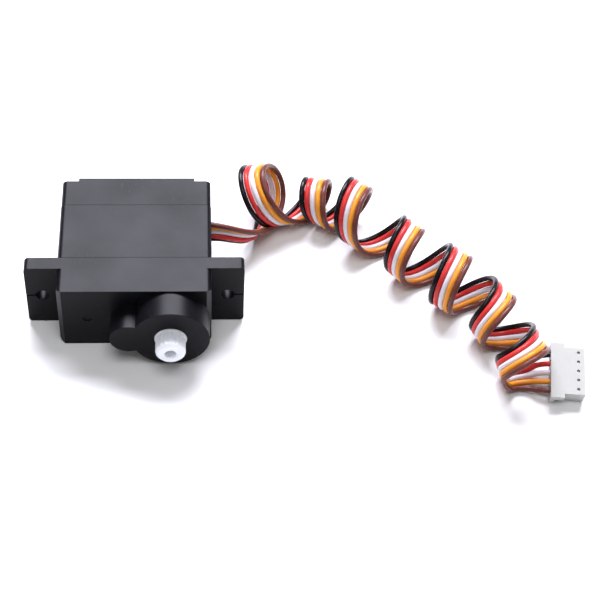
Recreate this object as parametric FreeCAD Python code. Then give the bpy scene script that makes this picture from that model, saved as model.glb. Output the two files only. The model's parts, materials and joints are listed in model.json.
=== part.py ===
import FreeCAD, Part
import math
import os

# Micro hobby servo motor of the nine-gram class, analogue feedback type without a control board:
# two of its five wires feed the motor and three read the potentiometer.
# All sizes in millimetres.
#
# Frame: the servo lies on one broad face. +X runs along the mounting lugs, towards the side where
# the ribbon cable leaves. +Z is up, through the thickness of the case. The output shaft points
# along -Y. The origin is under the middle of the servo, on the surface that it lies on.

V = FreeCAD.Vector
ALONG_Y = V(0, 1, 0)

# ---- driving dimensions ----------------------------------------------------------------------

CASE_WIDTH = 23.0            # body, without the lugs
CASE_THICKNESS = 12.2
WALL = 1.0
EDGE_RADIUS = 0.8
FRONT_CHAMFER = 0.7          # on the two upright edges of the front wall

Y_SHAFT_TIP = -15.05
Y_TOWER_FACE = -12.15        # front of the gear tower
Y_FRONT = -8.0               # front wall of the case
Y_LUG_FRONT = -3.5
Y_TOP_JOINT = -1.3           # top case meets middle case; also the back of the lugs
Y_COVER_JOINT = 9.45         # middle case meets bottom cover
Y_RECESS = 14.45             # floor of the screw recesses in the bottom cover
Y_BACK = 15.05               # back of the bottom cover

Z_MID = CASE_THICKNESS / 2

LUG_SPAN = 33.0
LUG_CORNER_RADIUS = 0.7
LUG_HOLE_SPACING = 28.0
LUG_HOLE_RADIUS = 1.05
LUG_SLIT = 0.3               # slit from each lug hole to the lug's outer edge

X_OUTPUT = 5.4               # output shaft and potentiometer
X_IDLER = -0.85              # fixed axle of the two idler gears
X_MOTOR = -6.15

TOWER_RADIUS = 5.85
TOWER_BORE = 5.2
LOBE_RADIUS = 2.86
LOBE_BORE = 2.0
TOWER_WALL = 1.1             # front wall of tower and lobe
FRONT_WALL = 0.8

FINE_MODULE = 0.2            # motor pinion and first wheel
COARSE_MODULE = 0.25         # the other three gear pairs
MOTOR_PINION_TEETH = 9
FIRST_WHEEL_TEETH = 44
SMALL_TEETH = 12
LARGE_TEETH = 38
PRESSURE_ANGLE = math.radians(25)
BACKLASH = 0.03              # each tooth is this much thinner than half the pitch
WHEEL_ADDENDUM = 0.8         # in modules
PINION_ADDENDUM = 0.9
ROOT_GAP = 0.2

RUNNING_GAP = 0.05           # radial clearance of a part that turns
END_GAP = 0.1                # axial clearance between neighbours on an axle

IDLER_AXLE_RADIUS = 0.4
POT_SHAFT_RADIUS = 0.75
MOTOR_SHAFT_RADIUS = 0.4

Y_OUTPUT_WHEEL = (-10.0, -8.7)
Y_THIRD_PINION = (-10.3, -7.0)
Y_THIRD_WHEEL = (-7.0, -6.1)
Y_SECOND_PINION = (-7.2, -5.7)
Y_SECOND_WHEEL = (-5.7, -4.8)
Y_FIRST_PINION = (-6.0, -4.6)
Y_FIRST_WHEEL = (-4.6, -3.7)
Y_MOTOR_PINION = (-4.8, -3.0)
Y_DECK_FRONT = -2.8
Y_DECK_BACK = -1.6

SPLINE_TEETH = 21
SPLINE_CREST = 2.26
SPLINE_ROOT = 2.18
SPLINE_COLLAR = 0.25         # plain cone between the teeth and the tower
JOURNAL_RADIUS = 2.43
HORN_SCREW_RADIUS = 0.9
HORN_SCREW_DEPTH = 4.0
TIP_CHAMFER = 0.45

CAN_RADIUS = 4.1
CAN_WALL = 0.35
Y_CAN_BACK = 8.4
Y_END_CAP_BACK = 10.4
END_CAP_WALL = 0.8
END_CAP_SPIGOT = 0.7         # the end cap's rim inside the can
END_CAP_BORE = 3.1
MAGNET_THICKNESS = 0.8
MAGNET_SPREAD = 130          # degrees
Y_MAGNETS = (-0.6, 7.2)
BUSH_RADIUS = 1.2
POLES = (90, 210, 330)       # directions of the rotor's poles and commutator gaps
Y_CORE = (0.9, 5.9)
CORE_HUB_RADIUS = 1.0
POLE_HALF_WIDTH = 0.4
POLE_SHOE = (2.75, 2.25)     # outer and inner radius
POLE_SHOE_SPREAD = 96
COIL_HALF_WIDTH = 0.85
COIL_SPAN = (1.1, 2.05)      # from the shaft's axis
COIL_OVERHANG = 0.5
Y_COMMUTATOR = (7.3, 9.2)
COMMUTATOR_RADIUS = 1.1
COMMUTATOR_CORE_RADIUS = 0.75
SEGMENT_SPREAD = 112
WASHER_RADIUS = 0.8
Y_WASHERS = ((-0.9, -0.6), (9.25, 9.5))
BRUSH_Y = (8.1, 8.9)
BRUSH_THICKNESS = 0.15
TERMINAL_X = 2.2
TERMINAL_HALF_WIDTH = 0.6
TERMINAL_HALF_THICKNESS = 0.15
Y_TERMINAL_END = 11.2

POT_RADIUS = 4.3
POT_WALL = 0.5
Y_POT_BACK = 2.4
Y_POT_TRACK = 1.5
TRACK_RADIUS = 3.2
TRACK_WIDTH = 0.8
TRACK_THICKNESS = 0.3
COLLECTOR_RING = (1.8, 1.0)  # outer and inner radius
Y_WIPER = (0.0, 0.6)
WIPER_FINGERS = ((1.2, 1.6), (2.5, 3.0))
Y_POT_SHAFT = (-10.4, 1.2)
POT_TERMINAL_X = 2.5
POT_TERMINAL_Z = (-1.5, 0, 1.5)

SCREW_X = 10.1
SCREW_INSET = 1.9            # from each broad face
SCREW_RADIUS = 0.6
SCREW_HEAD_RADIUS = 1.05
SCREW_HEAD_HEIGHT = 0.45
SCREW_TIP_Y = -6.6
POST_RADIUS = 1.2
RECESS_X = 8.97              # inner edge of the screw recesses
RECESS_DEPTH_Z = 3.05

WIRE_RADIUS = 0.425
WIRE_PITCH = 0.88            # the five wires lie side by side
WIRES = ("black", "red", "white", "orange", "brown")
SLOT_GAP = 0.03

CURL_RADIUS = 4.75          # half the width of the curl, wires included
LEAD_IN_OFFSET = 2.7         # the ribbon enters the curl this far in front of its axis
LEAD_IN_LAST_RUN = 1.9
LEAD_OUT_TURN = 1.3          # straight run out of the curl
LEAD_OUT_LAST_RUN = 2.9
PLUG_TILT = 14.0             # degrees about its length; the plug rests on one key
PLUG_TURN = -5.5             # degrees about the vertical
PLUG_REAR = V(62.55, -15.9, 2.27)
PLUG_PITCH = 1.5
PLUG_LENGTH = 5.15
PLUG_BODY_WIDTH = 7.7
PLUG_WIDTH = 9.0
PLUG_THICKNESS = 2.4
FLANGE_LENGTH = 0.7
KEY_LENGTH = 2.1
KEY_THICKNESS = 1.1
CAVITY_WIDTH = 1.0
CAVITY_HEIGHT = 1.5
WINDOW_X = 4.15              # latch windows over the contacts
WINDOW_RADIUS = 0.25
CONTACT_SPAN = (1.2, 4.9)
CONTACT_WIDTH = 0.96
CONTACT_HEIGHT = 1.4
SOCKET_START = 2.6           # the contact is hollow in front of this
SOCKET_WIDTH = 0.6
SOCKET_HEIGHT = 1.0

# Routes, chosen by hand: from the case to the curl, along the axis of the curl, and to the plug.
LEAD_IN_ROUTE = [(10.5, 9.45, 6.1), (12.6, 9.45, 6.1), (14.3, 10.65, 5.7), (16.3, 14.3, 4.7)]
CURL_ROUTE = [(20.0, 18.0, 4.75), (27.6, 16.9, 4.75), (34.9, 13.8, 4.75), (41.8, 8.5, 4.75),
              (47.9, 1.8, 4.75), (53.3, -5.2, 4.75), (57.5, -12.8, 4.75)]
# Inside the case: each wire from its terminal towards the slot.
INNER_ROUTES = {
    "black": [(-8.35, 11.2, 6.1), (-8.35, 12.6, 6.1), (-6.6, 12.8, 4.6), (-2.6, 12.9, 4.2),
              (3.0, 12.8, 4.2)],
    "red": [(-3.95, 11.2, 6.1), (-3.95, 12.5, 6.1), (-2.0, 12.7, 5.8), (3.0, 12.6, 5.4)],
    "white": [(7.9, 4.4, 4.6), (7.9, 6.2, 4.6), (8.2, 7.8, 5.5)],
    "orange": [(7.9, 4.4, 6.1), (7.9, 6.2, 6.1), (8.2, 7.8, 6.6)],
    "brown": [(7.9, 4.4, 7.6), (7.9, 6.2, 7.6), (8.2, 7.8, 7.75)],
}


# ---- helpers ---------------------------------------------------------------------------------

def block(x0, x1, y0, y1, z0, z1):
    return Part.makeBox(x1 - x0, y1 - y0, z1 - z0, V(x0, y0, z0))


def rod(radius, y0, y1, x, z=Z_MID):
    return Part.makeCylinder(radius, y1 - y0, V(x, y0, z), ALONG_Y)


def ring(outer, inner, y0, y1, x, z=Z_MID):
    return rod(outer, y0, y1, x, z).cut(rod(inner, y0 - 1, y1 + 1, x, z))


def edges_along(shape, axis, test):
    """The straight edges of shape that run along axis and whose middle passes test."""
    found = []
    for edge in shape.Edges:
        if not isinstance(edge.Curve, Part.Line):
            continue
        run = edge.Vertexes[-1].Point.sub(edge.Vertexes[0].Point)
        if abs(abs(run.normalize().dot(axis)) - 1) > 1e-6:
            continue
        if test(edge.CenterOfMass):
            found.append(edge)
    return found


def screw_places():
    for x in (-SCREW_X, SCREW_X):
        for z in (SCREW_INSET, CASE_THICKNESS - SCREW_INSET):
            yield x, z


def fused(shapes):
    shapes = list(shapes)
    return shapes[0].multiFuse(shapes[1:]).removeSplitter()


def bent_path(points, name=None):
    """Straight runs joined by tangent arcs, each as large as its two runs allow."""
    points = [V(*p) for p in points]
    radii = []
    edges = []
    start = points[0]
    for before, corner, after in zip(points, points[1:], points[2:]):
        come = corner.sub(before)
        leave = after.sub(corner)
        shorter = min(come.Length, leave.Length)
        half_turn = come.getAngle(leave) / 2
        come.normalize()
        leave.normalize()
        reach = 0.45 * shorter
        arc_start = corner.sub(come * reach)
        arc_end = corner.add(leave * reach)
        radius = reach / math.tan(half_turn)
        inwards = leave.sub(come).normalize()
        to_centre = radius / math.cos(half_turn)
        arc_middle = corner.add(inwards * (to_centre - radius))
        edges.append(Part.LineSegment(start, arc_start).toShape())
        edges.append(Part.Arc(arc_start, arc_middle, arc_end).toShape())
        radii.append(radius)
        start = arc_end
    edges.append(Part.LineSegment(start, points[-1]).toShape())
    if name:
        print(name, "arc radii", [round(r, 1) for r in radii])
    return Part.Wire(edges)


def tube(points, radius, name=None):
    """A round rod along a bent path. Its volume is compared with section times length."""
    path = bent_path(points, name)
    heading = path.Edges[0].tangentAt(path.Edges[0].FirstParameter)
    section = Part.Wire(Part.makeCircle(radius, path.Edges[0].Vertexes[0].Point, heading))
    solid = path.makePipeShell([section], True, False)
    if name:
        expected = math.pi * radius ** 2 * path.Length
        print(name, "length", round(path.Length, 2), "volume ratio", round(solid.Volume / expected, 4))
    return solid


# ---- gears -----------------------------------------------------------------------------------

def involute(angle):
    return math.tan(angle) - angle


def toothed_disc(teeth, module, addendum, mate_addendum, y0, y1, x, first_tooth):
    """A spur gear about Y. first_tooth is the direction of a tooth's middle, in degrees from +X to +Z."""
    pitch_r = teeth * module / 2
    base_r = pitch_r * math.cos(PRESSURE_ANGLE)
    tip_r = pitch_r + addendum * module
    root_r = pitch_r - (mate_addendum + ROOT_GAP) * module
    half_tooth = math.pi / 2 / teeth - BACKLASH / 2 / pitch_r
    flank_start = max(base_r, root_r)
    flank = []
    for i in range(4):
        r = flank_start + (tip_r - flank_start) * i / 3
        pressure = math.acos(min(1.0, base_r / r))
        flank.append((r, half_tooth + involute(PRESSURE_ANGLE) - involute(pressure)))
    outline = []
    for tooth in range(teeth):
        middle = math.radians(first_tooth) + 2 * math.pi * tooth / teeth
        outline.append((root_r, middle - flank[0][1]))
        outline += [(r, middle - a) for r, a in flank if r > root_r]
        outline += [(r, middle + a) for r, a in reversed(flank) if r > root_r]
        outline.append((root_r, middle + flank[0][1]))
    points = [V(x + r * math.cos(a), y0, Z_MID + r * math.sin(a)) for r, a in outline]
    face = Part.Face(Part.makePolygon(points + points[:1]))
    return face.extrude(V(0, y1 - y0, 0))


def wheel(teeth, module, span, x, gap_direction):
    """A large gear with a tooth gap facing gap_direction."""
    return toothed_disc(teeth, module, WHEEL_ADDENDUM, PINION_ADDENDUM, *span, x,
                        gap_direction + 180 / teeth)


def pinion(teeth, module, span, x, tooth_direction):
    """A small gear with a tooth facing tooth_direction."""
    return toothed_disc(teeth, module, PINION_ADDENDUM, WHEEL_ADDENDUM, *span, x, tooth_direction)


def first_gear():
    parts = (wheel(FIRST_WHEEL_TEETH, FINE_MODULE, Y_FIRST_WHEEL, X_IDLER, 180),
             pinion(SMALL_TEETH, COARSE_MODULE, Y_FIRST_PINION, X_IDLER, 0))
    return fused(parts).cut(rod(IDLER_AXLE_RADIUS + RUNNING_GAP, Y_FRONT, Y_TOP_JOINT, X_IDLER))


def second_gear():
    parts = (wheel(LARGE_TEETH, COARSE_MODULE, Y_SECOND_WHEEL, X_OUTPUT, 180),
             pinion(SMALL_TEETH, COARSE_MODULE, Y_SECOND_PINION, X_OUTPUT, 180))
    return fused(parts).cut(rod(POT_SHAFT_RADIUS + RUNNING_GAP, Y_FRONT, Y_TOP_JOINT, X_OUTPUT))


def third_gear():
    parts = (wheel(LARGE_TEETH, COARSE_MODULE, Y_THIRD_WHEEL, X_IDLER, 0),
             pinion(SMALL_TEETH, COARSE_MODULE, Y_THIRD_PINION, X_IDLER, 0))
    return fused(parts).cut(rod(IDLER_AXLE_RADIUS + RUNNING_GAP, Y_TOWER_FACE, Y_TOP_JOINT, X_IDLER))


def spline():
    """The toothed end of the output shaft, on which a servo horn is pushed."""
    y0 = Y_SHAFT_TIP
    y1 = Y_TOWER_FACE - SPLINE_COLLAR
    points = []
    for i in range(2 * SPLINE_TEETH):
        r = SPLINE_CREST if i % 2 else SPLINE_ROOT
        middle = math.pi * i / SPLINE_TEETH
        half = math.pi / SPLINE_TEETH * (0.22 if i % 2 else 0.3)
        for a in (middle - half, middle + half):
            points.append(V(X_OUTPUT + r * math.cos(a), y0, Z_MID + r * math.sin(a)))
    teeth = Part.Face(Part.makePolygon(points + points[:1])).extrude(V(0, y1 - y0, 0))
    blunt = Part.makeCone(SPLINE_CREST - TIP_CHAMFER, SPLINE_CREST + 1, 1 + TIP_CHAMFER,
                          V(X_OUTPUT, y0, Z_MID), ALONG_Y)
    rest = rod(SPLINE_CREST + 1, y0 + 1, y1 + 1, X_OUTPUT)
    return teeth.common(blunt.fuse(rest))


def output_gear():
    """Output shaft and its wheel in one moulding. The potentiometer's shaft is pressed into its back."""
    shoulder = (Y_TOWER_FACE + TOWER_WALL + RUNNING_GAP, Y_OUTPUT_WHEEL[0])
    collar = Part.makeCone(JOURNAL_RADIUS - 0.15, JOURNAL_RADIUS, SPLINE_COLLAR,
                           V(X_OUTPUT, Y_TOWER_FACE - SPLINE_COLLAR, Z_MID), ALONG_Y)
    shape = fused((wheel(LARGE_TEETH, COARSE_MODULE, Y_OUTPUT_WHEEL, X_OUTPUT, 180),
                   rod(JOURNAL_RADIUS + 0.5, *shoulder, X_OUTPUT),
                   rod(JOURNAL_RADIUS, Y_TOWER_FACE, shoulder[0], X_OUTPUT),
                   collar,
                   spline(),
                   rod(1.6, Y_OUTPUT_WHEEL[1], Y_SECOND_PINION[0] - END_GAP, X_OUTPUT)))
    shape = shape.cut(rod(HORN_SCREW_RADIUS, Y_SHAFT_TIP - 1, Y_SHAFT_TIP + HORN_SCREW_DEPTH, X_OUTPUT))
    return shape.cut(rod(POT_SHAFT_RADIUS, Y_POT_SHAFT[0], Y_FRONT + 1, X_OUTPUT))


def idler_axle():
    return rod(IDLER_AXLE_RADIUS, Y_TOWER_FACE + 0.5, Y_DECK_BACK, X_IDLER)


# ---- case ------------------------------------------------------------------------------------

def rounded_case(width, y0, y1):
    """An outer block of the case with its four long edges rounded."""
    shape = block(-width / 2, width / 2, y0, y1, 0, CASE_THICKNESS)
    return shape.makeFillet(EDGE_RADIUS, edges_along(shape, ALONG_Y, lambda p: True))


def posts(y0, y1, half_width):
    """Screw posts in the four corners, as far as the walls."""
    corners = fused(rod(POST_RADIUS, y0, y1, x, z) for x, z in screw_places())
    room = block(-half_width - 0.1, half_width + 0.1, y0, y1, WALL - 0.1, CASE_THICKNESS - WALL + 0.1)
    return corners.common(room)


def screw_holes(radius, y0, y1):
    return fused(rod(radius, y0, y1, x, z) for x, z in screw_places())


def lugs():
    shape = block(-LUG_SPAN / 2, LUG_SPAN / 2, Y_LUG_FRONT, Y_TOP_JOINT, 0, CASE_THICKNESS)
    shape = shape.makeFillet(LUG_CORNER_RADIUS, edges_along(shape, ALONG_Y, lambda p: True))
    for side in (-1, 1):
        x = side * LUG_HOLE_SPACING / 2
        edge = side * (LUG_SPAN / 2 + 1)
        shape = shape.cut(rod(LUG_HOLE_RADIUS, Y_LUG_FRONT - 1, Y_TOP_JOINT + 1, x))
        shape = shape.cut(block(min(x, edge), max(x, edge), Y_LUG_FRONT - 1, Y_TOP_JOINT + 1,
                                Z_MID - LUG_SLIT / 2, Z_MID + LUG_SLIT / 2))
    return shape


def top_case():
    """Front shell with the lugs, the tower over the output wheel and the lobe over the idler axle."""
    half = CASE_WIDTH / 2
    body = block(-half, half, Y_FRONT, Y_TOP_JOINT, 0, CASE_THICKNESS)
    upright = edges_along(body, V(0, 0, 1), lambda p: p.y < Y_FRONT + 0.01)
    body = body.makeChamfer(FRONT_CHAMFER, upright)
    body = body.makeFillet(EDGE_RADIUS, edges_along(body, ALONG_Y, lambda p: True))
    shape = fused((body, lugs(),
                   rod(TOWER_RADIUS, Y_TOWER_FACE, Y_FRONT + 1, X_OUTPUT),
                   rod(LOBE_RADIUS, Y_TOWER_FACE, Y_FRONT + 1, X_IDLER)))
    inside = Y_TOWER_FACE + TOWER_WALL
    shape = shape.cut(block(-half + WALL, half - WALL, Y_FRONT + FRONT_WALL, Y_TOP_JOINT + 1,
                            WALL, CASE_THICKNESS - WALL))
    shape = shape.cut(rod(TOWER_BORE, inside, Y_FRONT + 1, X_OUTPUT))
    shape = shape.cut(rod(LOBE_BORE, inside, Y_FRONT + 1, X_IDLER))
    axle_boss = rod(1.0, inside - 0.1, Y_THIRD_PINION[0] - END_GAP, X_IDLER)
    shape = fused((shape, axle_boss, posts(Y_FRONT + FRONT_WALL - 0.1, Y_DECK_FRONT, half - WALL)))
    shape = shape.cut(rod(JOURNAL_RADIUS + RUNNING_GAP, Y_TOWER_FACE - 1, inside + 1, X_OUTPUT))
    shape = shape.cut(rod(IDLER_AXLE_RADIUS, Y_TOWER_FACE + 0.5, Y_FRONT, X_IDLER))
    shape = shape.cut(screw_holes(SCREW_RADIUS, SCREW_TIP_Y, Y_TOP_JOINT))
    dimple = rod(0.75, Y_FRONT - 1, Y_FRONT + 0.15, -half + 4.4)
    return shape.cut(dimple)


def cable_slot():
    """The slot where the five wires leave, half in the middle case and half in the cover."""
    half_height = 2 * WIRE_PITCH + WIRE_RADIUS + SLOT_GAP
    half_gap = WIRE_RADIUS + SLOT_GAP
    return block(CASE_WIDTH / 2 - WALL - 0.5, CASE_WIDTH / 2 + 1, Y_COVER_JOINT - half_gap,
                 Y_COVER_JOINT + half_gap, Z_MID - half_height, Z_MID + half_height)


def middle_case():
    """Middle shell. Its front deck carries the motor, the potentiometer and the idler axle."""
    half = CASE_WIDTH / 2 + 0.05
    gap = 0.05
    shell = rounded_case(2 * half, Y_TOP_JOINT, Y_COVER_JOINT)
    shell = shell.cut(block(-half + WALL, half - WALL, Y_DECK_BACK, Y_COVER_JOINT + 1,
                            WALL, CASE_THICKNESS - WALL))
    deck = block(-half + WALL + gap, half - WALL - 2 * gap, Y_DECK_FRONT, Y_DECK_BACK,
                 WALL + gap, CASE_THICKNESS - WALL - gap)
    collar = block(-half + WALL + gap, half - WALL - 2 * gap, Y_DECK_BACK, Y_TOP_JOINT,
                   WALL + gap, CASE_THICKNESS - WALL - gap)
    collar = collar.cut(block(-half + 2 * WALL, half - 2 * WALL, Y_DECK_BACK - 1, Y_TOP_JOINT + 1,
                              2 * WALL, CASE_THICKNESS - 2 * WALL))
    idler_boss = rod(1.0, Y_FIRST_WHEEL[1] + END_GAP, Y_DECK_FRONT, X_IDLER)
    pot_boss = rod(1.2, Y_SECOND_WHEEL[1] + END_GAP, Y_DECK_FRONT, X_OUTPUT)
    inner_posts = posts(Y_TOP_JOINT, Y_COVER_JOINT, half - WALL)
    shape = fused((shell, deck, collar, idler_boss, pot_boss, inner_posts))
    shape = shape.cut(rod(CAN_RADIUS, Y_DECK_BACK, Y_CAN_BACK, X_MOTOR))
    shape = shape.cut(rod(POT_RADIUS, Y_DECK_BACK, Y_POT_BACK, X_OUTPUT))
    shape = shape.cut(rod(BUSH_RADIUS + 0.1, Y_DECK_FRONT - 1, Y_DECK_BACK + 1, X_MOTOR))
    shape = shape.cut(rod(POT_SHAFT_RADIUS + RUNNING_GAP, Y_FRONT, Y_DECK_BACK + 1, X_OUTPUT))
    shape = shape.cut(rod(IDLER_AXLE_RADIUS, Y_FRONT, Y_DECK_BACK + 1, X_IDLER))
    shape = shape.cut(screw_holes(SCREW_RADIUS + RUNNING_GAP, Y_DECK_FRONT - 1, Y_COVER_JOINT + 1))
    return shape.cut(cable_slot())


def bottom_cover():
    """Back cover: a raised plateau with a recess for a screw head at each corner."""
    half = CASE_WIDTH / 2
    shape = rounded_case(CASE_WIDTH, Y_COVER_JOINT, Y_BACK)
    for side in (-1, 1):
        for z0, z1 in ((-1, RECESS_DEPTH_Z), (CASE_THICKNESS - RECESS_DEPTH_Z, CASE_THICKNESS + 1)):
            outer = side * (half + 1)
            inner = side * RECESS_X
            shape = shape.cut(block(min(inner, outer), max(inner, outer), Y_RECESS, Y_BACK + 1, z0, z1))
    shape = shape.cut(block(-half + WALL, half - WALL, Y_COVER_JOINT - 1, Y_BACK - WALL - 0.1,
                            WALL, CASE_THICKNESS - WALL))
    shape = fused((shape, posts(Y_COVER_JOINT, Y_RECESS - 0.1, half - WALL)))
    shape = shape.cut(screw_holes(SCREW_RADIUS + RUNNING_GAP, Y_COVER_JOINT - 1, Y_BACK + 1))
    return shape.cut(cable_slot())


def case_screws():
    """Four long screws that clamp cover, middle case and top case together."""
    screws = []
    for x, z in screw_places():
        head = rod(SCREW_HEAD_RADIUS, Y_RECESS, Y_RECESS + SCREW_HEAD_HEIGHT, x, z)
        screw = fused((head, rod(SCREW_RADIUS, SCREW_TIP_Y, Y_RECESS, x, z)))
        for along, across in ((0.7, 0.12), (0.12, 0.7)):
            screw = screw.cut(block(x - along, x + along, Y_RECESS + 0.2, Y_BACK, z - across, z + across))
        screws.append(screw)
    return Part.makeCompound(screws)


# ---- motor -----------------------------------------------------------------------------------

def sector(outer, inner, y0, y1, x, middle, spread):
    """Part of a ring about the axle at x, spread degrees wide around the direction middle."""
    start = math.radians(middle - spread / 2)
    corners = []
    for r, order in ((inner, (0, 0.5, 1)), (outer, (1, 0.5, 0))):
        corners.append([V(x + r * math.cos(start + math.radians(spread) * t), y0,
                          Z_MID + r * math.sin(start + math.radians(spread) * t)) for t in order])
    (a, b, c), (d, e, f) = corners
    edges = [Part.Arc(a, b, c).toShape(), Part.LineSegment(c, d).toShape(),
             Part.Arc(d, e, f).toShape(), Part.LineSegment(f, a).toShape()]
    return Part.Face(Part.Wire(edges)).extrude(V(0, y1 - y0, 0))


def motor_can():
    shape = rod(CAN_RADIUS, Y_DECK_BACK, Y_CAN_BACK, X_MOTOR)
    shape = shape.cut(rod(CAN_RADIUS - CAN_WALL, Y_DECK_BACK + CAN_WALL, Y_CAN_BACK + 1, X_MOTOR))
    return shape.cut(rod(BUSH_RADIUS, Y_DECK_BACK - 1, Y_DECK_BACK + 1, X_MOTOR))


def motor_magnets():
    inner = CAN_RADIUS - CAN_WALL
    return Part.makeCompound([sector(inner, inner - MAGNET_THICKNESS, *Y_MAGNETS, X_MOTOR,
                                     middle, MAGNET_SPREAD) for middle in (90, 270)])


def motor_bushes():
    """Front bush in the can and back bush in the end cap."""
    bore = MOTOR_SHAFT_RADIUS + 0.02
    front = ring(BUSH_RADIUS, bore, Y_DECK_BACK - 0.8, Y_DECK_BACK + 0.6, X_MOTOR)
    back = ring(BUSH_RADIUS, bore, Y_END_CAP_BACK - END_CAP_WALL, Y_END_CAP_BACK + 0.1, X_MOTOR)
    return Part.makeCompound([front, back])


def motor_shaft():
    return rod(MOTOR_SHAFT_RADIUS, Y_MOTOR_PINION[0], Y_END_CAP_BACK, X_MOTOR)


def motor_pinion():
    shape = pinion(MOTOR_PINION_TEETH, FINE_MODULE, Y_MOTOR_PINION, X_MOTOR, 0)
    return shape.cut(rod(MOTOR_SHAFT_RADIUS, Y_MOTOR_PINION[0] - 1, Y_MOTOR_PINION[1] + 1, X_MOTOR))


def pole_arm(half_width, y0, y1, middle, inner, outer):
    arm = block(X_MOTOR + inner, X_MOTOR + outer, y0, y1, Z_MID - half_width, Z_MID + half_width)
    return arm.rotate(V(X_MOTOR, 0, Z_MID), ALONG_Y, -middle)


def pole_core(middle):
    """The iron of one pole, from the hub into its shoe."""
    return pole_arm(POLE_HALF_WIDTH, *Y_CORE, middle, CORE_HUB_RADIUS / 2, sum(POLE_SHOE) / 2)


def rotor_core():
    """Three-pole laminated core."""
    shapes = [rod(CORE_HUB_RADIUS, *Y_CORE, X_MOTOR)]
    for middle in POLES:
        shapes.append(pole_core(middle))
        shapes.append(sector(*POLE_SHOE, *Y_CORE, X_MOTOR, middle, POLE_SHOE_SPREAD))
    return fused(shapes).cut(rod(MOTOR_SHAFT_RADIUS, Y_CORE[0] - 1, Y_CORE[1] + 1, X_MOTOR))


def rotor_windings():
    """One coil of enamelled wire around each pole."""
    coils = []
    for middle in POLES:
        coil = pole_arm(COIL_HALF_WIDTH, Y_CORE[0] - COIL_OVERHANG, Y_CORE[1] + COIL_OVERHANG,
                        middle, *COIL_SPAN)
        coils.append(coil.cut(pole_core(middle)))
    return Part.makeCompound(coils)


def commutator_core():
    return ring(COMMUTATOR_CORE_RADIUS, MOTOR_SHAFT_RADIUS, *Y_COMMUTATOR, X_MOTOR)


def commutator_segments():
    y0 = Y_COMMUTATOR[0] + END_GAP
    y1 = Y_COMMUTATOR[1] - END_GAP
    return Part.makeCompound([sector(COMMUTATOR_RADIUS, COMMUTATOR_CORE_RADIUS, y0, y1, X_MOTOR,
                                     middle, SEGMENT_SPREAD) for middle in POLES])


def rotor_washers():
    """Thin washers that take up the rotor's end play."""
    return Part.makeCompound([ring(WASHER_RADIUS, MOTOR_SHAFT_RADIUS, *span, X_MOTOR)
                              for span in Y_WASHERS])


def motor_end_cap():
    shape = rod(CAN_RADIUS, Y_CAN_BACK, Y_END_CAP_BACK, X_MOTOR)
    spigot = rod(CAN_RADIUS - CAN_WALL, Y_CAN_BACK - END_CAP_SPIGOT, Y_CAN_BACK, X_MOTOR)
    shape = shape.fuse(spigot).removeSplitter()
    shape = shape.cut(rod(END_CAP_BORE, Y_CAN_BACK - 1, Y_END_CAP_BACK - END_CAP_WALL, X_MOTOR))
    shape = shape.cut(rod(BUSH_RADIUS, Y_CAN_BACK, Y_END_CAP_BACK + 1, X_MOTOR))
    for side in (-1, 1):
        shape = shape.cut(terminal_blade(side))
    return shape


def terminal_blade(side):
    """Flat blade of a motor terminal through the end cap's back wall."""
    x = X_MOTOR + side * TERMINAL_X
    return block(x - TERMINAL_HALF_WIDTH, x + TERMINAL_HALF_WIDTH, Y_END_CAP_BACK - END_CAP_WALL,
                 Y_TERMINAL_END, Z_MID - TERMINAL_HALF_THICKNESS, Z_MID + TERMINAL_HALF_THICKNESS)


def motor_terminals():
    return Part.makeCompound([terminal_blade(side) for side in (-1, 1)])


def motor_brushes():
    """Two leaf springs that press on the commutator from both sides."""
    brushes = []
    for side in (-1, 1):
        x = X_MOTOR + side * TERMINAL_X
        z = Z_MID + side * (COMMUTATOR_RADIUS + 0.02)
        z_out = z + side * BRUSH_THICKNESS
        leaf = block(X_MOTOR - 1.2, X_MOTOR + 2.3, *BRUSH_Y, min(z, z_out), max(z, z_out))
        if side < 0:
            leaf = leaf.mirror(V(X_MOTOR, 0, 0), V(1, 0, 0))
        foot = block(x - 0.3, x + 0.3, BRUSH_Y[0], Y_END_CAP_BACK - END_CAP_WALL,
                     min(Z_MID, z_out), max(Z_MID, z_out))
        brushes.append(fused((leaf, foot)))
    return Part.makeCompound(brushes)


# ---- potentiometer -----------------------------------------------------------------------------

def pot_housing():
    shape = ring(POT_RADIUS, POT_RADIUS - POT_WALL, Y_DECK_BACK, Y_POT_TRACK, X_OUTPUT)
    front = ring(POT_RADIUS - POT_WALL, POT_SHAFT_RADIUS + RUNNING_GAP, Y_DECK_BACK,
                 Y_DECK_BACK + 0.6, X_OUTPUT)
    return fused((shape, front))


def pot_shaft():
    """Steel shaft: pressed into the output gear in front, carries the wiper behind."""
    return rod(POT_SHAFT_RADIUS, *Y_POT_SHAFT, X_OUTPUT)


def pot_wiper():
    """Wiper carrier disc with its two contact fingers."""
    disc = ring(TRACK_RADIUS, POT_SHAFT_RADIUS, *Y_WIPER, X_OUTPUT)
    y1 = Y_POT_TRACK - TRACK_THICKNESS - 0.02
    fingers = [block(X_OUTPUT + x0, X_OUTPUT + x1, Y_WIPER[1] - 0.1, y1, Z_MID - 0.2, Z_MID + 0.2)
               for x0, x1 in WIPER_FINGERS]
    return fused([disc] + fingers)


def pot_track():
    """Carbon track and collector ring on the base."""
    y0 = Y_POT_TRACK - TRACK_THICKNESS
    track = sector(TRACK_RADIUS, TRACK_RADIUS - TRACK_WIDTH, y0, Y_POT_TRACK, X_OUTPUT, 180, 300)
    return Part.makeCompound([track, ring(*COLLECTOR_RING, y0, Y_POT_TRACK, X_OUTPUT)])


def pot_base():
    shape = rod(POT_RADIUS, Y_POT_TRACK, Y_POT_BACK, X_OUTPUT)
    return shape.cut(pot_terminals())


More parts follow.
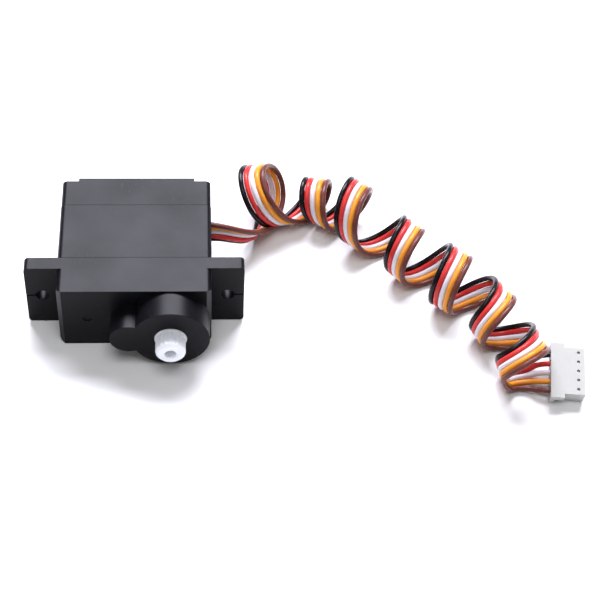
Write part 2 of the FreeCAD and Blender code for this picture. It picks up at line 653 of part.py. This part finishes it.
def pot_terminals():
    """Three pins to which the feedback wires are soldered."""
    x = X_OUTPUT + POT_TERMINAL_X
    return Part.makeCompound([block(x - 0.3, x + 0.3, Y_POT_BACK - 0.6, Y_POT_BACK + 2.0,
                                    Z_MID + z - 0.15, Z_MID + z + 0.15) for z in POT_TERMINAL_Z])


# ---- wires and plug ----------------------------------------------------------------------------

def slot_height(wire):
    """Height of a wire in the slot: black lowest, brown highest."""
    return Z_MID + (WIRES.index(wire) - 2) * WIRE_PITCH


def inner_lead(wire):
    """The stretch of one wire inside the case, from its terminal to the slot."""
    z = slot_height(wire)
    points = list(INNER_ROUTES[wire])
    if wire in ("black", "red"):
        points += [(8.0, 11.2, z)]
    points += [(9.2, 9.45, z), (CASE_WIDTH / 2 - WALL, Y_COVER_JOINT, z)]
    return tube(points, WIRE_RADIUS)


def curl_end(end, inner):
    """Centre, heading along the curl and direction across it, at one end of the curl."""
    end = V(*end)
    heading = end.sub(V(*inner)).normalize()
    return end, heading, V(-heading.y, heading.x, 0)


def ribbon_lead_in():
    """The five wires from the slot to the curl's front half, each above the next."""
    centre, outwards, across = curl_end(CURL_ROUTE[0], CURL_ROUTE[1])
    entry = centre.add(across * LEAD_IN_OFFSET)
    before = entry.add(outwards * LEAD_IN_LAST_RUN)
    wires = []
    for wire in WIRES:
        rise = V(0, 0, slot_height(wire) - Z_MID)
        points = [V(*p).add(rise) for p in LEAD_IN_ROUTE] + [before.add(rise), entry.add(rise)]
        wires.append(tube([tuple(p) for p in points], WIRE_RADIUS, "lead-in " + wire))
    return Part.makeCompound(wires)


def ribbon_curl():
    """The outer shape of the curled ribbon: one thick rod along the curl's axis."""
    return tube(CURL_ROUTE, CURL_RADIUS, "curl")


def plug_rotation():
    return FreeCAD.Rotation(V(0, 0, 1), PLUG_TURN).multiply(FreeCAD.Rotation(V(1, 0, 0), PLUG_TILT))


def plug_point(x, y, z):
    """A point of the plug's own frame (wires leave along -X, top up), in the servo's frame."""
    return PLUG_REAR.add(plug_rotation().multVec(V(x, y, z)))


def plug_place(shape):
    shape.Placement = FreeCAD.Placement(PLUG_REAR, plug_rotation())
    return shape


def plug_rows():
    """Y of each wire in the plug's own frame, the brown one first."""
    return [(i - 2) * PLUG_PITCH for i in range(len(WIRES))]


def plug_housing():
    """Housing with a flange at the wires, two keys beside it and a window over each contact."""
    half = PLUG_THICKNESS / 2
    shape = block(0, PLUG_LENGTH, -PLUG_BODY_WIDTH / 2, PLUG_BODY_WIDTH / 2, -half, half)
    flange = block(0, FLANGE_LENGTH, -PLUG_WIDTH / 2, PLUG_WIDTH / 2, -half, half)
    keys = block(0, KEY_LENGTH, -PLUG_WIDTH / 2, PLUG_WIDTH / 2, half - KEY_THICKNESS, half)
    shape = fused((shape, flange, keys))
    for y in plug_rows():
        shape = shape.cut(block(-1, PLUG_LENGTH + 1, y - CAVITY_WIDTH / 2, y + CAVITY_WIDTH / 2,
                                -CAVITY_HEIGHT / 2, CAVITY_HEIGHT / 2))
        shape = shape.cut(Part.makeCylinder(WINDOW_RADIUS, PLUG_THICKNESS, V(WINDOW_X, y, 0)))
    return plug_place(shape)


def plug_contacts():
    """Five crimped contacts, one in each cavity of the plug."""
    contacts = []
    for y in plug_rows():
        contact = block(*CONTACT_SPAN, y - CONTACT_WIDTH / 2, y + CONTACT_WIDTH / 2,
                        -CONTACT_HEIGHT / 2, CONTACT_HEIGHT / 2)
        socket = block(SOCKET_START, PLUG_LENGTH, y - SOCKET_WIDTH / 2, y + SOCKET_WIDTH / 2,
                       -SOCKET_HEIGHT / 2, SOCKET_HEIGHT / 2)
        contacts.append(contact.cut(socket))
    return plug_place(Part.makeCompound(contacts))


def ribbon_lead_out():
    """The five wires from the curl to the plug, fanning out to the plug's pitch."""
    end, heading, across = curl_end(CURL_ROUTE[-1], CURL_ROUTE[-2])
    wires = []
    for wire, y in zip(reversed(WIRES), plug_rows()):
        start = end.add(across * (y / PLUG_PITCH * WIRE_PITCH))
        turn = start.add(heading * LEAD_OUT_TURN)
        before = plug_point(-LEAD_OUT_LAST_RUN + CONTACT_SPAN[0], y, 0)
        entry = plug_point(CONTACT_SPAN[0], y, 0)
        points = [tuple(start), tuple(turn), tuple(before), tuple(entry)]
        wires.append(tube(points, WIRE_RADIUS, "lead-out " + wire))
    return Part.makeCompound(wires)


# ---- output ------------------------------------------------------------------------------------

def all_nodes():
    nodes = {
        "top_case": top_case(),
        "middle_case": middle_case(),
        "bottom_cover": bottom_cover(),
        "case_screws": case_screws(),
        "output_gear": output_gear(),
        "idler_axle": idler_axle(),
        "first_gear": first_gear(),
        "second_gear": second_gear(),
        "third_gear": third_gear(),
        "motor_can": motor_can(),
        "motor_magnets": motor_magnets(),
        "motor_bushes": motor_bushes(),
        "motor_end_cap": motor_end_cap(),
        "motor_terminals": motor_terminals(),
        "motor_brushes": motor_brushes(),
        "motor_shaft": motor_shaft(),
        "motor_pinion": motor_pinion(),
        "rotor_core": rotor_core(),
        "rotor_windings": rotor_windings(),
        "rotor_washers": rotor_washers(),
        "commutator_core": commutator_core(),
        "commutator_segments": commutator_segments(),
        "pot_housing": pot_housing(),
        "pot_base": pot_base(),
        "pot_track": pot_track(),
        "pot_terminals": pot_terminals(),
        "pot_shaft": pot_shaft(),
        "pot_wiper": pot_wiper(),
        "plug_housing": plug_housing(),
        "plug_contacts": plug_contacts(),
        "ribbon_lead_in": ribbon_lead_in(),
        "ribbon_curl": ribbon_curl(),
        "ribbon_lead_out": ribbon_lead_out(),
    }
    for wire in WIRES:
        nodes["inner_lead_" + wire] = inner_lead(wire)
    return nodes


os.makedirs("parts", exist_ok=True)
for node, shape in all_nodes().items():
    if not shape.isValid():
        print("invalid:", node)
    shape.exportStep("parts/" + node + ".step")
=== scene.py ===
"""Looks of a 9 g class hobby servo motor with its curled five-wire lead and plug.

All lengths are metres in the shared frame, except where a name ends in _MM.
"""

import json
import math

import bpy
from mathutils import Matrix, Vector


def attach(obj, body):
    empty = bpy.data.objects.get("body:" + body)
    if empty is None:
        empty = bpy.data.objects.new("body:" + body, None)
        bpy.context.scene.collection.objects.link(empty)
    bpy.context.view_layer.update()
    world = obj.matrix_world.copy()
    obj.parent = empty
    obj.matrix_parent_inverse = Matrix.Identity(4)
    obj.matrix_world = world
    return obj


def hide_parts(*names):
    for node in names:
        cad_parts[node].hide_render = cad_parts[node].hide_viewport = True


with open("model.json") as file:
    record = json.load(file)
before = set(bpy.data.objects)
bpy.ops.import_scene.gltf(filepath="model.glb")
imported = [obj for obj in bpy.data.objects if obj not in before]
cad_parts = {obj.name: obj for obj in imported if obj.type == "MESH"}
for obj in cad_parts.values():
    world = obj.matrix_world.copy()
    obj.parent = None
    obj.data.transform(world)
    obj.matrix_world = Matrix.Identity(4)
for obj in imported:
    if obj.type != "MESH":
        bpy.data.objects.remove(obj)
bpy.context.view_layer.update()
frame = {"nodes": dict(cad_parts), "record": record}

MM = 0.001

# ---- camera ------------------------------------------------------------------------------------

CAMERA_TARGET_MM = (25.45, 0.34, 0.0)
CAMERA_DISTANCE_MM = 265.15
CAMERA_ELEVATION = math.radians(50.39)
CAMERA_YAW = math.radians(5.18)
CAMERA_ROLL = math.radians(3.75)
CAMERA_LENS_MM = 101.26
CAMERA_SENSOR_MM = 36.0
CAMERA_CLIP = (0.01, 20.0)

# ---- the five-wire lead ------------------------------------------------------------------------

WIRES = ["black", "red", "white", "orange", "brown"]
MIDDLE_WIRE = WIRES.index("white")
WIRE_RADIUS = 0.425 * MM
WIRE_PITCH = 0.88 * MM
NURBS_ORDER = 3
AXIS_RESOLUTION = 64            # steps between two points of the curl's axis
WIRE_RESOLUTION = 8             # steps between two points of a wire
ROUND_RESOLUTION = 5            # how finely a wire's round section is cut

# Each point of the middle wire, and the way to the next wire on the brown side (in pitches).
LEAD_IN_MM = [
    ((10.5, 9.45, 6.1), (0, 0, 1)),
    ((12.8, 9.5, 6.1), (0, 0, 1)),
    ((15.0, 9.5, 5.4), (0, -0.05, 1)),
    ((17.4, 10.3, 4.0), (0.1, -0.2, 0.97)),
    ((19.2, 12.4, 2.4), (0.35, -0.45, 0.82)),
    ((20.3, 15.0, 1.0), (0.7, -0.55, 0.45)),
    ((20.8, 16.9, 0.6), (0.85, -0.52, 0)),
]
LEAD_OUT_MM = [
    ((55.9, -16.5, 0.9), (0.25, -0.95, -0.1)),
    ((57.6, -15.6, 0.5), (0, -1.1, 0)),
    ((59.6, -15.5, 0.9), (-0.1, -1.3, -0.1)),
    ((61.0, -15.75, 2.1), (-0.16, -1.64, -0.38)),
    ((63.74, -16.01, 2.27), (-0.16, -1.646, -0.412)),
]

# Between the slot and the floor the ribbon has split: these wires stand in front of the others.
SPLIT_MM = {"red": (0, -0.4, 0.05), "brown": (0, -0.4, -0.1)}
SPLIT_POINTS = (1, 2, 3, 4)

# The axis of the curl. Each turn stands on the floor, so the axis is as high as its outer radius.
CURL_AXIS_MM = [
    (10.9, 17.6, 5.68),
    (20.3, 17.4, 5.62),
    (28.4, 18.9, 3.1),
    (32.7, 16.1, 5.4),
    (41.0, 8.3, 4.2),
    (46.7, 1.7, 5.2),
    (53.5, -3.5, 4.3),
    (57.8, -13.4, 4.2),
    (58.3, -16.2, 4.85),
]
TURNS = 7
QUARTER_TURN = 0.25             # from the floor up to the height of the axis
CURL_PHASE = -1.09              # radians by which turn 0 starts before the floor
FIRST_TURN = 0.21               # the lead-in joins the curl here
LAST_TURN = 6.98                # and the lead-out leaves it here
POINTS_PER_TURN = 18
# How far the turns have slid out of square along the axis: turn, across the curl, over its height.
LEANS_MM = [
    (0.0, 2.6, -7.2),
    (1.0, 3.25, -1.2),
    (1.5, 1.4, -0.95),
    (2.0, 0.2, -0.7),
    (4.5, 0.3, 1.4),
    (7.0, -0.7, 2.6),
]


def in_metres(point):
    return Vector(point) * MM


def add_camera():
    """A long lens above and in front of the servo."""
    forward = Vector((
        math.sin(CAMERA_YAW) * math.cos(CAMERA_ELEVATION),
        math.cos(CAMERA_YAW) * math.cos(CAMERA_ELEVATION),
        -math.sin(CAMERA_ELEVATION),
    ))
    level = Vector((math.cos(CAMERA_YAW), -math.sin(CAMERA_YAW), 0))
    rise = level.cross(forward)
    right = level * math.cos(CAMERA_ROLL) + rise * math.sin(CAMERA_ROLL)
    up = right.cross(forward)
    place = Matrix((right, up, -forward)).transposed().to_4x4()
    place.translation = (Vector(CAMERA_TARGET_MM) - forward * CAMERA_DISTANCE_MM) * MM
    lens = bpy.data.cameras.new("camera")
    lens.lens = CAMERA_LENS_MM
    lens.sensor_width = CAMERA_SENSOR_MM
    lens.clip_start, lens.clip_end = CAMERA_CLIP
    camera = bpy.data.objects.new("camera", lens)
    camera.matrix_world = place
    bpy.context.scene.collection.objects.link(camera)
    bpy.context.scene.camera = camera


def nurbs(name, points, resolution):
    """A curve object of one open NURBS spline with these control points.

    The radius of the wire is kept in the points, so that the curve's bounding box is the wire's.
    """
    curve = bpy.data.curves.new(name, "CURVE")
    curve.dimensions = "3D"
    spline = curve.splines.new("NURBS")
    spline.points.add(len(points) - 1)
    for control, point in zip(spline.points, points):
        control.co = (*point, 1)
        control.radius = WIRE_RADIUS
    spline.order_u = NURBS_ORDER
    spline.use_endpoint_u = True
    spline.resolution_u = resolution
    curve.resolution_u = resolution
    obj = bpy.data.objects.new(name, curve)
    bpy.context.scene.collection.objects.link(obj)
    return obj


def spline_points(points, resolution):
    """Points read from the NURBS spline through a route."""
    guide = nurbs("guide", [in_metres(p) for p in points], resolution)
    bpy.context.view_layer.update()
    mesh = bpy.data.meshes.new_from_object(guide)
    read = [v.co.copy() for v in mesh.vertices]
    curve = guide.data
    bpy.data.objects.remove(guide)
    bpy.data.curves.remove(curve)
    bpy.data.meshes.remove(mesh)
    return read


def lean_at(turn):
    """The slide of the turns across and over the height, in metres."""
    for (start, across_0, over_0), (end, across_1, over_1) in zip(LEANS_MM, LEANS_MM[1:]):
        if turn <= end:
            break
    share = (turn - start) / (end - start)
    across = across_0 + (across_1 - across_0) * share
    over = over_0 + (over_1 - over_0) * share
    return across * MM, over * MM


def curl_frames():
    """Along the curl: turn, point of the middle wire and the way out from the axis."""
    axis = spline_points(CURL_AXIS_MM, AXIS_RESOLUTION)
    last = len(axis) - 1
    frames = []
    for i in range(last + 1):
        turn = TURNS * i / last
        ahead = axis[min(i + 1, last)] - axis[max(i - 1, 0)]
        ahead.z = 0
        ahead.normalize()
        side = Vector((-ahead.y, ahead.x, 0))
        angle = 2 * math.pi * (turn - QUARTER_TURN) + CURL_PHASE
        outwards = side * math.cos(angle) + Vector((0, 0, math.sin(angle)))
        across, over = lean_at(turn)
        slide = across * math.cos(angle) + over * math.sin(angle)
        radius = axis[i].z - WIRE_RADIUS
        frames.append((turn, axis[i] + outwards * radius + ahead * slide, outwards))
    return frames


def curl_points(place):
    """The helix of one wire, `place` pitches from the middle one."""
    frames = curl_frames()
    step = max(1, round(len(frames) / (TURNS * POINTS_PER_TURN)))
    points = []
    for i in range(step, len(frames) - step, step):
        turn, point, outwards = frames[i]
        if FIRST_TURN <= turn <= LAST_TURN:
            heading = frames[i + step][1] - frames[i - step][1]
            across = outwards.cross(heading).normalized()
            points.append(point + across * (place * WIRE_PITCH))
    return points


def lead_points(route, place):
    """The points of one wire, `place` pitches from the middle one, on a route."""
    return [in_metres(point) + Vector(way) * (place * WIRE_PITCH) for point, way in route]


def add_wire(colour, place):
    """One wire from the slot in the case, through the curl, to its place in the plug."""
    points = lead_points(LEAD_IN_MM, place) + curl_points(place) + lead_points(LEAD_OUT_MM, place)
    for i in SPLIT_POINTS:
        points[i] += in_metres(SPLIT_MM.get(colour, (0, 0, 0)))
    for point in points:
        point.z = max(point.z, WIRE_RADIUS)
    wire = nurbs("lead_" + colour, points, WIRE_RESOLUTION)
    wire.data.bevel_depth = 1.0     # times the radius of the points
    wire.data.bevel_resolution = ROUND_RESOLUTION
    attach(wire, "case")
    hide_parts("ribbon_lead_in", "ribbon_curl", "ribbon_lead_out")
    return wire


# ---- materials ---------------------------------------------------------------------------------

NOISE_LOW, NOISE_HIGH = 0.3, 0.7        # most of a noise lies between these two
MIX_FACTOR, MIX_A, MIX_B = 0, 6, 7      # inputs of a Mix node that mixes colours
MIX_RESULT = 2                          # and its output

# Features per metre of the noises.
PAPER_CLOUDS = 40
SHEEN_CLOUDS = 120
COLOUR_CLOUDS = 500
TARNISH_CLOUDS = 700
WEAR_PATCHES = 900
RIPPLES = 1500
ENAMEL_GLOSS = 2500
SKIN_GRAIN = 9000

RUB_MARKS = 700
RUB_STRETCH = (9, 1, 9)                 # the marks run from front to back
RUB_START, RUB_FULL = 0.37, 0.45        # of two noises multiplied: where a mark starts and is full
RUB_BLUENESS = 1.1

SHEEN_DEPTH = 0.02 * MM
# How much the colour wanders, and the radius of the softened edges.
OPAQUE = {"wear": 0.14, "edge": 0.12 * MM}
TRANSLUCENT = {"wear": 0.02, "edge": 0.04 * MM}
UNDER_SKIN = (1, 0.95, 0.9)             # how far each colour goes in a translucent plastic
UNDER_SKIN_DEPTH = 1.2 * MM

TARNISH = 0.1
# Painted shade and light on the windings: the share by which the grooves between turns are painted
# darker and the crests lighter
PAINTED_GROOVE_SHADE = 0.25
ENAMEL_ROUGHNESS = (0.18, 0.34)
ENAMEL_COAT = 0.4
WINDING_METALLIC = 0.85
WINDING_DISTORTION = 0.6
WINDING_DEPTH = 0.05 * MM

WIRE_SHADE = 0.06
WIRE_ROUGHNESS = (0.2, 0.3)
WIRE_SPECULAR = 0.2
WIRE_RIPPLE_DEPTH = 0.008 * MM
WIRE_SKIN_DEPTH = 0.001 * MM
WIRE_GLOW = 0.08
WIRE_GLOW_DEPTH = 0.25 * MM

EVEN = (1, 1, 1)
ALONG_SHAFT = (1, 0.05, 1)              # drawn out along the motor and the gear axles
ACROSS_STACK = (0.2, 6, 0.2)            # the edges of the stamped sheets
ROUND_COPPER = (1, 8, 1)                # turned marks round the commutator
ALONG_CONTACT = (0.1, 1, 1)

# Moulded and pressed materials: colour, roughness from and to, specular level, grain per metre and
# the depth of the grain in mm.
MOULDED = {
    "case_black": ((0.004, 0.004, 0.0055), (0.34, 0.42), 0.107, 7000, 0.008),
    "gear_nylon": ((0.84, 0.86, 0.90), (0.36, 0.46), 0.4, 5000, 0.001),
    "plug_nylon": ((0.42, 0.42, 0.40), (0.32, 0.45), 0.4, 5000, 0.003),
    "magnet_ferrite": ((0.035, 0.034, 0.036), (0.55, 0.75), 0.5, 9000, 0.02),
    "end_cap_plastic": ((0.72, 0.70, 0.64), (0.35, 0.5), 0.5, 6000, 0.006),
    "washer_plastic": ((0.85, 0.84, 0.80), (0.4, 0.5), 0.5, 6000, 0.004),
    "commutator_plastic": ((0.03, 0.02, 0.015), (0.35, 0.5), 0.5, 6000, 0.005),
    "pot_plastic": ((0.02, 0.045, 0.10), (0.35, 0.5), 0.5, 6000, 0.006),
    "pot_base_plastic": ((0.25, 0.17, 0.09), (0.45, 0.6), 0.5, 8000, 0.01),
    "carbon_track": ((0.015, 0.015, 0.016), (0.45, 0.65), 0.5, 16000, 0.006),
    "wiper_plastic": ((0.80, 0.79, 0.75), (0.35, 0.5), 0.5, 6000, 0.005),
}
GLOWS = {"gear_nylon": 1.0, "plug_nylon": 0.2}      # the share of the light that goes under the skin
RUBBED = {"case_black": 0.014}                      # how pale the rub marks are

# Metals: colour, roughness from and to, stretch of the scratches, how many a metre, depth in mm.
METALS = {
    "screw_steel": ((0.32, 0.32, 0.33), (0.25, 0.4), EVEN, 6000, 0.004),
    "axle_steel": ((0.62, 0.62, 0.63), (0.12, 0.25), ALONG_SHAFT, 6000, 0.004),
    "can_steel": ((0.52, 0.52, 0.52), (0.22, 0.38), ALONG_SHAFT, 6000, 0.004),
    "core_steel": ((0.36, 0.36, 0.38), (0.35, 0.55), ACROSS_STACK, 9000, 0.02),
    "bush_bronze": ((0.48, 0.30, 0.12), (0.35, 0.55), EVEN, 14000, 0.01),
    "tinned_brass": ((0.66, 0.63, 0.55), (0.25, 0.42), EVEN, 6000, 0.004),
    "pinion_brass": ((0.74, 0.53, 0.22), (0.18, 0.32), ALONG_SHAFT, 6000, 0.004),
    "brush_copper": ((0.72, 0.38, 0.22), (0.28, 0.42), EVEN, 6000, 0.004),
    "commutator_copper": ((0.70, 0.36, 0.20), (0.2, 0.36), ROUND_COPPER, 5000, 0.004),
    "contact_tin": ((0.68, 0.67, 0.64), (0.25, 0.4), ALONG_CONTACT, 6000, 0.004),
}
WINDING_COLOUR = (0.60, 0.20, 0.07)
WINDING_TURNS = 4200                    # a metre
WIRE_COLOURS = {
    "black": (0.007, 0.005, 0.006),
    "red": (0.56, 0.035, 0.032),
    "white": (0.64, 0.62, 0.67),
    "orange": (0.75, 0.28, 0.03),
    "brown": (0.13, 0.039, 0.032),
}


def shader(name):
    """A new node material: the node tree, its Principled shader and object coordinates."""
    made = bpy.data.materials.new(name)
    made.use_nodes = True
    tree = made.node_tree
    principled = next(n for n in tree.nodes if n.type == "BSDF_PRINCIPLED")
    coordinates = tree.nodes.new("ShaderNodeTexCoord").outputs["Object"]
    return made, tree, principled, coordinates


def noise(tree, coordinates, scale, detail=3.0, stretch=EVEN):
    """Fractal noise with `scale` features per metre, times `stretch` along each axis."""
    mapping = tree.nodes.new("ShaderNodeMapping")
    mapping.inputs["Scale"].default_value = stretch
    tree.links.new(coordinates, mapping.inputs["Vector"])
    texture = tree.nodes.new("ShaderNodeTexNoise")
    texture.inputs["Scale"].default_value = scale
    texture.inputs["Detail"].default_value = detail
    tree.links.new(mapping.outputs["Vector"], texture.inputs["Vector"])
    return texture.outputs["Fac"]


def spread(tree, factor, low, high):
    """Maps the middle of a noise to the range low..high."""
    ranged = tree.nodes.new("ShaderNodeMapRange")
    ranged.inputs["From Min"].default_value = NOISE_LOW
    ranged.inputs["From Max"].default_value = NOISE_HIGH
    ranged.inputs["To Min"].default_value = low
    ranged.inputs["To Max"].default_value = high
    tree.links.new(factor, ranged.inputs["Value"])
    return ranged.outputs["Result"]


def tint(tree, factor, colour, change):
    """A colour that wanders between darker and lighter by the share `change`."""
    ramp = tree.nodes.new("ShaderNodeValToRGB")
    dark, light = ramp.color_ramp.elements
    dark.position = NOISE_LOW
    light.position = NOISE_HIGH
    dark.color = (*[c * (1 - change) for c in colour], 1)
    light.color = (*[min(1, c * (1 + change)) for c in colour], 1)
    tree.links.new(factor, ramp.inputs["Fac"])
    return ramp.outputs["Color"]


def bump(tree, height, distance, base=None):
    """A normal tilted by a height from 0 to `distance`, on top of the normal `base`."""
    node = tree.nodes.new("ShaderNodeBump")
    node.inputs["Distance"].default_value = distance
    node.inputs["Strength"].default_value = 1.0
    tree.links.new(height, node.inputs["Height"])
    if base:
        tree.links.new(base, node.inputs["Normal"])
    return node.outputs["Normal"]


def scuffed(tree, where, slow, colour, paleness):
    """A colour with clusters of short pale rub marks."""
    rubs = noise(tree, where, RUB_MARKS, detail=2, stretch=RUB_STRETCH)
    clusters = tree.nodes.new("ShaderNodeMath")
    clusters.operation = "MULTIPLY"
    tree.links.new(rubs, clusters.inputs[0])
    tree.links.new(slow, clusters.inputs[1])
    marks = tree.nodes.new("ShaderNodeMapRange")
    marks.inputs["From Min"].default_value = RUB_START
    marks.inputs["From Max"].default_value = RUB_FULL
    marks.inputs["To Max"].default_value = 1.0
    tree.links.new(clusters.outputs["Value"], marks.inputs["Value"])
    mix = tree.nodes.new("ShaderNodeMix")
    mix.data_type = "RGBA"
    mix.inputs[MIX_B].default_value = (paleness, paleness, paleness * RUB_BLUENESS, 1)
    tree.links.new(marks.outputs["Result"], mix.inputs[MIX_FACTOR])
    tree.links.new(colour, mix.inputs[MIX_A])
    return mix.outputs[MIX_RESULT]


def moulded(name, colour, roughness, specular, grain, depth_mm):
    """Moulded or pressed material: fine eroded grain, slow changes of sheen, soft edges.

    An opaque one shows patches of wear; a translucent one, which lets some light in, hides them.
    """
    made, tree, principled, where = shader(name)
    glow = GLOWS.get(name)
    kind = TRANSLUCENT if glow else OPAQUE
    slow = noise(tree, where, SHEEN_CLOUDS)
    fine = noise(tree, where, grain, detail=4)
    patch = noise(tree, where, WEAR_PATCHES, detail=2)
    shade = tint(tree, patch, colour, kind["wear"])
    if name in RUBBED:
        shade = scuffed(tree, where, slow, shade, RUBBED[name])
    tree.links.new(shade, principled.inputs["Base Color"])
    tree.links.new(spread(tree, slow, *roughness), principled.inputs["Roughness"])
    edge = tree.nodes.new("ShaderNodeBevel")
    edge.inputs["Radius"].default_value = kind["edge"]
    waves = bump(tree, slow, SHEEN_DEPTH, edge.outputs["Normal"])
    tree.links.new(bump(tree, fine, depth_mm * MM, waves), principled.inputs["Normal"])
    principled.inputs["Specular IOR Level"].default_value = specular
    if glow:
        principled.inputs["Subsurface Weight"].default_value = glow
        principled.inputs["Subsurface Radius"].default_value = UNDER_SKIN
        principled.inputs["Subsurface Scale"].default_value = UNDER_SKIN_DEPTH
    return made


def metal(name, colour, roughness, stretch, scratches, depth_mm):
    """Machined or drawn metal: fine scratches or grain, and cloudy tarnish."""
    made, tree, principled, where = shader(name)
    cloud = noise(tree, where, TARNISH_CLOUDS)
    lines = noise(tree, where, scratches, detail=2, stretch=stretch)
    tree.links.new(tint(tree, cloud, colour, TARNISH), principled.inputs["Base Color"])
    tree.links.new(spread(tree, lines, *roughness), principled.inputs["Roughness"])
    tree.links.new(bump(tree, lines, depth_mm * MM), principled.inputs["Normal"])
    principled.inputs["Metallic"].default_value = 1.0
    return made


def wound(name, colour, turns_per_metre):
    """Enamelled copper wire laid turn beside turn, seen as fine round ridges."""
    made, tree, principled, where = shader(name)
    turns = tree.nodes.new("ShaderNodeTexWave")
    turns.bands_direction = "Y"
    turns.inputs["Scale"].default_value = turns_per_metre
    turns.inputs["Distortion"].default_value = WINDING_DISTORTION
    tree.links.new(where, turns.inputs["Vector"])
    # The colour follows the ridges: painted shade in the grooves between turns, painted light on
    # their crests
    shade = tint(tree, turns.outputs["Fac"], colour, PAINTED_GROOVE_SHADE)
    tree.links.new(shade, principled.inputs["Base Color"])
    gloss = noise(tree, where, ENAMEL_GLOSS)
    tree.links.new(spread(tree, gloss, *ENAMEL_ROUGHNESS), principled.inputs["Roughness"])
    tree.links.new(bump(tree, turns.outputs["Fac"], WINDING_DEPTH), principled.inputs["Normal"])
    principled.inputs["Metallic"].default_value = WINDING_METALLIC
    principled.inputs["Coat Weight"].default_value = ENAMEL_COAT
    return made


def insulation(name, colour):
    """Soft PVC on a wire: even colour, a slightly oily gloss and faint ripples."""
    made, tree, principled, where = shader(name)
    cloud = noise(tree, where, COLOUR_CLOUDS)
    ripple = noise(tree, where, RIPPLES, detail=2)
    skin = noise(tree, where, SKIN_GRAIN, detail=2)
    tree.links.new(tint(tree, cloud, colour, WIRE_SHADE), principled.inputs["Base Color"])
    tree.links.new(spread(tree, ripple, *WIRE_ROUGHNESS), principled.inputs["Roughness"])
    waves = bump(tree, ripple, WIRE_RIPPLE_DEPTH)
    tree.links.new(bump(tree, skin, WIRE_SKIN_DEPTH, waves), principled.inputs["Normal"])
    principled.inputs["Specular IOR Level"].default_value = WIRE_SPECULAR
    principled.inputs["Subsurface Weight"].default_value = WIRE_GLOW
    principled.inputs["Subsurface Scale"].default_value = WIRE_GLOW_DEPTH
    return made


def slot_materials():
    """One material for each finish that the record names."""
    made = {"winding_copper": wound("winding_copper", WINDING_COLOUR, WINDING_TURNS)}
    for name, look in MOULDED.items():
        made[name] = moulded(name, *look)
    for name, look in METALS.items():
        made[name] = metal(name, *look)
    for colour, value in WIRE_COLOURS.items():
        made["wire_" + colour] = insulation("wire_" + colour, value)
    made["ribbon"] = made["wire_black"]     # the CAD ribbon, which the five wires replace
    return made


def paint_nodes(materials):
    """Gives every CAD node the material of its slot in the record."""
    for part in frame["record"]["subparts"]:
        node = frame["nodes"][part["node"]]
        node.data.materials.clear()
        node.data.materials.append(materials[part["material_slot"]])


# ---- studio ------------------------------------------------------------------------------------

LIGHTS_AIM = (0.02, 0, 0)
# Softboxes: place, width and depth, power in watts, colour.
SOFTBOXES = {
    "key": ((0.05, 0.52, 0.68), (0.74, 0.38), 20.5, (0.885, 0.885, 1.0)),
    "overhead": ((0.02, -0.22, 0.8), (0.4, 0.4), 2.4, (0.96, 0.97, 1.0)),
}
SURROUNDINGS_COLOUR = (1.0, 1.0, 1.0, 1)
SURROUNDINGS_STRENGTH = 0.26
PAPER_COLOUR = (0.9, 0.9, 0.9)
PAPER_SHADE = 0.01
PAPER_ROUGHNESS = 0.9
PAPER_SPECULAR = 0.1
FLOOR_HALF = 3.0
FLOOR_HEIGHT = -0.1 * MM                # just under the servo, so that the faces don't share a plane


def add_softbox(name, place, size, power, colour):
    """A rectangular area light turned towards the servo."""
    lamp = bpy.data.lights.new(name, "AREA")
    lamp.color = colour
    lamp.shape = "RECTANGLE"
    lamp.size, lamp.size_y = size
    lamp.energy = power
    light = bpy.data.objects.new(name, lamp)
    light.location = place
    light.rotation_euler = (Vector(LIGHTS_AIM) - Vector(place)).to_track_quat("-Z", "Y").to_euler()
    bpy.context.scene.collection.objects.link(light)


def add_surroundings():
    """White light from all sides."""
    world = bpy.data.worlds.new("surroundings")
    world.use_nodes = True
    background = world.node_tree.nodes["Background"]
    background.inputs["Color"].default_value = SURROUNDINGS_COLOUR
    background.inputs["Strength"].default_value = SURROUNDINGS_STRENGTH
    bpy.context.scene.world = world


def floor_paper():
    """Pale paper with hardly any shade."""
    made, tree, principled, where = shader("floor_paper")
    clouds = noise(tree, where, PAPER_CLOUDS)
    shade = tint(tree, clouds, PAPER_COLOUR, PAPER_SHADE)
    tree.links.new(shade, principled.inputs["Base Color"])
    principled.inputs["Roughness"].default_value = PAPER_ROUGHNESS
    principled.inputs["Specular IOR Level"].default_value = PAPER_SPECULAR
    return made


def add_floor():
    """A square of paper, which belongs to the studio and not to the servo."""
    mesh = bpy.data.meshes.new("floor")
    corners = [
        (-FLOOR_HALF, -FLOOR_HALF, FLOOR_HEIGHT),
        (FLOOR_HALF, -FLOOR_HALF, FLOOR_HEIGHT),
        (FLOOR_HALF, FLOOR_HALF, FLOOR_HEIGHT),
        (-FLOOR_HALF, FLOOR_HALF, FLOOR_HEIGHT),
    ]
    mesh.from_pydata(corners, [], [(0, 1, 2, 3)])
    mesh.materials.append(floor_paper())
    floor = bpy.data.objects.new("floor", mesh)
    bpy.context.scene.collection.objects.link(floor)


def add_studio():
    """A large softbox behind, a smaller one overhead, white surroundings and a pale floor."""
    for name, look in SOFTBOXES.items():
        add_softbox(name, *look)
    add_surroundings()
    add_floor()
    bpy.context.scene.view_settings.view_transform = "Standard"


add_camera()
finishes = slot_materials()
for index, wire_colour in enumerate(WIRES):
    lead = add_wire(wire_colour, index - MIDDLE_WIRE)
    lead.data.materials.append(finishes["wire_" + wire_colour])
paint_nodes(finishes)
add_studio()

bpy.context.view_layer.update()
